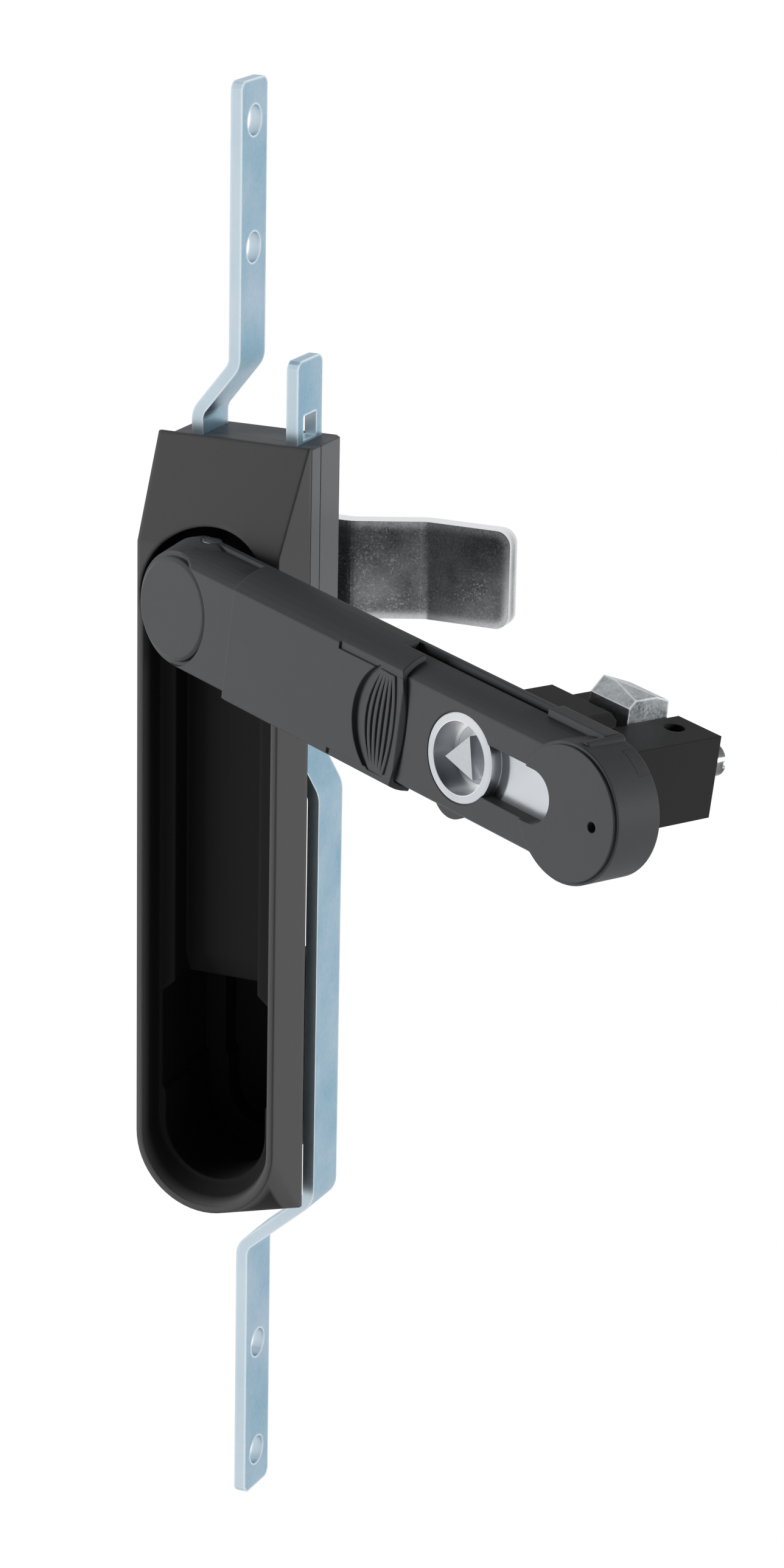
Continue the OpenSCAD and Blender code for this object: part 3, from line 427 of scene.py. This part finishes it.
class HL_PG_stage(bpy.types.PropertyGroup):
    """Camera and light of the studio."""

    azimuth: bpy.props.FloatProperty(
        name="Camera azimuth", description="Direction of the camera round the part",
        unit="ROTATION", default=math.radians(24.19))
    elevation: bpy.props.FloatProperty(
        name="Camera elevation", description="Height angle of the camera",
        unit="ROTATION", default=math.radians(17.82))
    roll: bpy.props.FloatProperty(
        name="Camera roll", description="Roll of the camera about its own axis",
        unit="ROTATION", default=math.radians(1.116))
    distance: bpy.props.FloatProperty(
        name="Camera distance", description="Distance from the camera to its target",
        unit="LENGTH", min=0.3, max=3.0, default=0.8899)
    lens: bpy.props.FloatProperty(
        name="Lens", description="Focal length of the camera in millimetres",
        min=20, max=300, default=104.84)
    key: bpy.props.FloatProperty(
        name="Key light", description="Power of the main soft light",
        unit="POWER", min=0, max=100, default=32.0)
    fill: bpy.props.FloatProperty(
        name="Side light", description="Power of the weaker soft light",
        unit="POWER", min=0, max=100, default=11.5)
    surround: bpy.props.FloatProperty(
        name="Surround", description="Strength of the even light from all round",
        min=0, max=2, default=0.05)


# Operators


class HL_OT_coats(bpy.types.Operator):
    """Finishes the dish, handle, cover, gearbox and lock case, which are coated or moulded."""

    bl_idname = "handle_lock.coats"
    bl_label = "Coated parts"

    def execute(self, context):
        look = context.scene.hl_finish
        grain = grain_group()
        rough = look.coat_roughness

        def coat(names, name, colour, variation, scale, roughness, relief, specular,
                 edge=0.0005, layers=()):
            """A coat or a moulding, with the radius of its soft edges."""
            values = {"Color": rgba(colour), "Variation": variation, "Scale": scale,
                      "Roughness": roughness, "Bump": relief, "Edge Radius": edge}
            dress(names, new_material(name, grain, values, specular=specular, layers=layers))

        # Painted shade: the dish's coat is darker inside its rim, where shade falls in the recess
        inside = (recess_shade_group(), {}, look.recess_shade)
        coat(["dish"], "dish coat", look.dish, variation=0.10, scale=2600.0,
             roughness=rough, relief=0.25, specular=0.06, edge=0.0011, layers=(inside,))
        coat(["handle_body"], "handle coat", look.handle, variation=0.08, scale=2600.0,
             roughness=rough - 0.04, relief=0.25, specular=0.045)
        coat(["slide_cover"], "cover moulding", look.cover, variation=0.06, scale=3200.0,
             roughness=rough - 0.06, relief=0.18, specular=0.045)
        coat(["gearbox_front", "gearbox_back"], "box moulding", look.box, variation=0.08,
             scale=3000.0, roughness=rough - 0.1, relief=0.2, specular=0.05)
        coat(["lock_case", "lock_well"], "case moulding", look.case, variation=0.08,
             scale=3000.0, roughness=rough, relief=0.2, specular=0.035)
        return {"FINISHED"}


class HL_OT_end_walls(bpy.types.Operator):
    """Makes two curved walls where the handle's pocket leaves the back edge of its end open."""

    bl_idname = "handle_lock.end_walls"
    bl_label = "Walls of the handle's end"

    def execute(self, context):
        sizes = context.scene.hl_walls
        outer, inner = END_RADIUS, END_RADIUS - sizes.thickness
        back, front = END_BACK
        corners = ((outer, back), (inner, back), (inner, front), (outer, front))
        points, faces = [], []
        for side in (-1, 1):
            start = len(points)
            for i in range(sizes.steps + 1):
                angle = sizes.first + (sizes.last - sizes.first) * i / sizes.steps
                for radius, height in corners:
                    points.append(PIN + side * radius * math.cos(angle) * ACROSS
                                  + (END_CENTRE + radius * math.sin(angle)) * ALONG + height * OUT)
            rings = [[start + 4 * i + k for k in range(4)] for i in range(sizes.steps + 1)]
            shell = [rings[0], rings[-1][::-1]]
            shell += [[a[k], b[k], b[(k + 1) % 4], a[(k + 1) % 4]]
                      for a, b in zip(rings, rings[1:]) for k in range(4)]
            faces += shell if side > 0 else [face[::-1] for face in shell]
        mesh = bpy.data.meshes.new("end_walls")
        mesh.from_pydata(points, [], faces)
        mesh.materials.append(bpy.data.materials["handle coat"])
        walls = bpy.data.objects.new("end_walls", mesh)
        context.scene.collection.objects.link(walls)
        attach(walls, "lever")
        return {"FINISHED"}


class HL_OT_metals(bpy.types.Operator):
    """Finishes the rods, cam, spindle, lock cylinder, bolt and small metal parts."""

    bl_idname = "handle_lock.metals"
    bl_label = "Metal parts"

    def execute(self, context):
        look = context.scene.hl_finish
        plating = plating_group()
        edges = highlight_group()
        cup_reflection = cup_reflection_group()

        def plate(names, name, colour, tint, cloud, spangle, cell, roughness, relief, metallic,
                  layers=()):
            """A plated or cast metal: two colours, and the scales of its clouds and cells."""
            values = {"Color": rgba(colour), "Tint": rgba(tint), "Cloud Scale": cloud,
                      "Spangle": spangle, "Spangle Scale": cell, "Roughness": roughness,
                      "Bump": relief}
            dress(names, new_material(name, plating, values, metallic=metallic, layers=layers))

        # Painted highlight: lighter narrow sides and edges on the rods
        narrow_side_highlight = (edges, {"Radius": 0.0009, "Face": (0, 1, 0)}, (0.72, 0.80, 0.85))
        plate(["upper_rod", "lower_rod"], "rod plating", look.rod, look.rod_tint, cloud=55.0,
              spangle=0.04, cell=1400.0, roughness=0.34, relief=0.05, metallic=0.85,
              layers=(narrow_side_highlight,))
        specks = (specks_group(), {"Scale": 2000.0, "Threshold": 0.58, "Amount": 0.4},
                  (0.62, 0.64, 0.65))
        # Painted highlight on the cam's edges, and all over its faces that look up or down
        cam_top_and_edge_highlight = (edges, {"Radius": 0.0034, "Face": (0, 0, 1), "Face Amount": 1.0},
                  (0.74, 0.76, 0.77))
        plate(["cam_tongue"], "cam plating", look.cam, (0.075, 0.083, 0.092), cloud=120.0,
              spangle=0.08, cell=3600.0, roughness=0.30, relief=0.04, metallic=0.9,
              layers=(specks, cam_top_and_edge_highlight))
        plate(["spindle", "cam_spacer"], "plain steel", (0.32, 0.33, 0.34), (0.26, 0.27, 0.28),
              cloud=120.0, spangle=0.06, cell=1600.0, roughness=0.36, relief=0.06, metallic=0.9)
        plate(["pinion"], "pinion casting", (0.40, 0.37, 0.30), (0.34, 0.33, 0.30),
              cloud=90.0, spangle=0.1, cell=1500.0, roughness=0.4, relief=0.1, metallic=0.8)
        plate(["cam_washer", "cam_bolt", "gearbox_screws", "case_screws", "cross_pin",
               "latch_spring"], "screw plating", (0.58, 0.60, 0.62), (0.50, 0.53, 0.56),
              cloud=150.0, spangle=0.05, cell=2200.0, roughness=0.26, relief=0.05, metallic=0.95)
        # Painted highlight along the bolt's and the crank's edges
        plate(["latch_bolt", "drive_crank"], "bolt casting", (0.36, 0.385, 0.40),
              (0.20, 0.22, 0.235), cloud=190.0, spangle=0.12, cell=2200.0, roughness=0.34,
              relief=0.12, metallic=0.85, layers=((edges, {"Radius": 0.0007}, (0.78, 0.80, 0.82)),))
        lock = {"Centre": LOCK_AXIS, "Across": ACROSS, "Along": ALONG}
        # Painted reflection in the cup: the painted highlight fans stand at right angles to the
        # dark ones, and the dark layer also paints shade in the plate round the stem
        dark_reflection_fans = (cup_reflection, {**lock, "Phase": -1.2, "Fan": 0.52, "Shade": 0.93},
                     (0.11, 0.115, 0.12))
        highlight_fans = (cup_reflection, {**lock, "Phase": 1.94, "Fan": 1.0, "Shade": 0.0}, WHITE)
        plate(["cylinder_insert"], "satin nickel", look.metal, (0.56, 0.59, 0.63),
              cloud=60.0, spangle=0.0, cell=2400.0, roughness=0.27, relief=0.04, metallic=0.9,
              layers=(dark_reflection_fans, highlight_fans))
        # Painted highlight along the stud's edges
        plate(["case_stud"], "stud chrome", (0.20, 0.205, 0.21), (0.05, 0.052, 0.055),
              cloud=330.0, spangle=0.0, cell=2400.0, roughness=0.14, relief=0.0, metallic=1.0,
              layers=((edges, {"Radius": 0.0004}, (0.80, 0.81, 0.82)),))
        plate(["key_plug"], "bright nickel", (0.60, 0.61, 0.62), (0.54, 0.56, 0.59),
              cloud=80.0, spangle=0.03, cell=2400.0, roughness=0.16, relief=0.03, metallic=1.0)
        return {"FINISHED"}


class HL_OT_stage(bpy.types.Operator):
    """Sets the plain pale floor, the soft light and the camera."""

    bl_idname = "handle_lock.stage"
    bl_label = "Stage"

    # The floor: how far it lies below the part, and half its side
    FLOOR_DROP = 0.12
    FLOOR_HALF = 3.0
    # The lights: diameter and place of each, and the point that both face
    KEY_LIGHT = (1.0, Vector((-1.2, -0.85, 0.22)))
    SIDE_LIGHT = (0.6, Vector((1.2, 0.12, 0.15)))
    LIT_POINT = Vector((0.03, -0.02, 0.0))
    # The camera: the point that it faces, and its sensor's height in millimetres
    SEEN_POINT = Vector((0.0345, 0.0, 0.01379))
    SENSOR = 36.0

    def execute(self, context):
        scene = context.scene
        stage = scene.hl_stage
        scene.view_settings.view_transform = "Standard"
        self.world(scene, stage)
        self.floor(scene)
        # The key light shows in no metal, where it would burn out the lock's ring and plate
        self.light(scene, "key", stage.key, *self.KEY_LIGHT, in_gloss=False)
        self.light(scene, "side", stage.fill, *self.SIDE_LIGHT, in_gloss=True)
        self.camera(scene, stage)
        return {"FINISHED"}

    @staticmethod
    def white_to_camera(tree, shader, output):
        """Camera, glossy and transmission rays see plain white, and all else sees the shader."""
        path = tree.nodes.new("ShaderNodeLightPath").outputs
        seen = calc(tree, "MAXIMUM", path["Is Camera Ray"], path["Is Transmission Ray"])
        seen = calc(tree, "MAXIMUM", seen, path["Is Glossy Ray"])
        plain = tree.nodes.new("ShaderNodeBackground" if output.bl_idname == "ShaderNodeOutputWorld"
                               else "ShaderNodeEmission")
        plain.inputs["Color"].default_value = WHITE
        plain.inputs["Strength"].default_value = 1.0
        mix = tree.nodes.new("ShaderNodeMixShader")
        for i, socket in enumerate((seen, shader, plain.outputs[0])):
            tree.links.new(socket, mix.inputs[i])
        tree.links.new(mix.outputs[0], output.inputs["Surface"])

    def world(self, scene, stage):
        """An even light from all round, white where it is seen."""
        world = bpy.data.worlds.new("studio")
        scene.world = world
        world.use_nodes = True
        tree = world.node_tree
        back = tree.nodes["Background"]
        back.inputs["Color"].default_value = (0.95, 0.97, 1.0, 1)
        back.inputs["Strength"].default_value = stage.surround
        self.white_to_camera(tree, back.outputs[0], tree.nodes["World Output"])

    def floor(self, scene):
        """A flat floor under the part, white where it is seen."""
        mesh = bpy.data.meshes.new("floor")
        low = min(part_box(name)[0][2] for name in NODES) - self.FLOOR_DROP
        corners = ((-1, -1), (1, -1), (1, 1), (-1, 1))
        points = [(x * self.FLOOR_HALF, y * self.FLOOR_HALF, low) for x, y in corners]
        mesh.from_pydata(points, [], [(0, 1, 2, 3)])
        floor = bpy.data.objects.new("floor", mesh)
        scene.collection.objects.link(floor)
        material = bpy.data.materials.new("floor")
        material.use_nodes = True
        tree = material.node_tree
        shader = tree.nodes["Principled BSDF"]
        shader.inputs["Base Color"].default_value = (0.8, 0.8, 0.8, 1)
        shader.inputs["Roughness"].default_value = 0.9
        self.white_to_camera(tree, shader.outputs[0], tree.nodes["Material Output"])
        mesh.materials.append(material)

    def light(self, scene, name, power, size, place, in_gloss):
        """A round soft light that faces the part."""
        data = bpy.data.lights.new(name, "AREA")
        data.shape = "DISK"
        data.size = size
        data.energy = power
        light = bpy.data.objects.new(name, data)
        light.visible_glossy = in_gloss
        scene.collection.objects.link(light)
        aim = (self.LIT_POINT - place).to_track_quat("-Z", "Y")
        light.matrix_world = Matrix.Translation(place) @ aim.to_matrix().to_4x4()

    def camera(self, scene, stage):
        """The camera, in front of the part, a little to its right and above it."""
        data = bpy.data.cameras.new("camera")
        data.sensor_fit = "VERTICAL"
        data.sensor_height = self.SENSOR
        data.lens = stage.lens
        data.clip_start = 0.05
        camera = bpy.data.objects.new("camera", data)
        scene.collection.objects.link(camera)
        scene.camera = camera
        a, e, r = stage.azimuth, stage.elevation, stage.roll
        back = Vector((math.sin(a) * math.cos(e), -math.cos(a) * math.cos(e), math.sin(e)))
        level = Vector((math.cos(a), math.sin(a), 0.0))
        upright = back.cross(level)
        right = level * math.cos(r) + upright * math.sin(r)
        up = upright * math.cos(r) - level * math.sin(r)
        place = Matrix((right, up, back)).transposed().to_4x4()
        place.translation = self.SEEN_POINT + back * stage.distance
        camera.matrix_world = place


class HL_PT_panel(bpy.types.Panel):
    """Lists the operators and their settings."""

    bl_idname = "HL_PT_panel"
    bl_label = "Handle Lock"
    bl_space_type = "VIEW_3D"
    bl_region_type = "UI"
    bl_category = "Handle Lock"

    def draw(self, context):
        for key in SETTINGS:
            group = getattr(context.scene, key)
            box = self.layout.box()
            for name in group.bl_rna.properties.keys():
                if name not in {"rna_type", "name"}:
                    box.prop(group, name)
        for operator in OPERATORS:
            self.layout.operator(operator.bl_idname)


SETTINGS = {"hl_finish": HL_PG_finish, "hl_walls": HL_PG_walls, "hl_stage": HL_PG_stage}
OPERATORS = (HL_OT_coats, HL_OT_end_walls, HL_OT_metals, HL_OT_stage)
CLASSES = (*SETTINGS.values(), *OPERATORS, HL_PT_panel)


def register():
    for cls in CLASSES:
        bpy.utils.register_class(cls)
    for key, group in SETTINGS.items():
        setattr(bpy.types.Scene, key, bpy.props.PointerProperty(type=group))


def unregister():
    for key in SETTINGS:
        delattr(bpy.types.Scene, key)
    for cls in reversed(CLASSES):
        bpy.utils.unregister_class(cls)


def main():
    register()
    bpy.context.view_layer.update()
    bpy.ops.handle_lock.coats()
    bpy.ops.handle_lock.end_walls()
    bpy.ops.handle_lock.metals()
    bpy.ops.handle_lock.stage()
    bpy.context.view_layer.update()


if __name__ == "__main__":
    main()
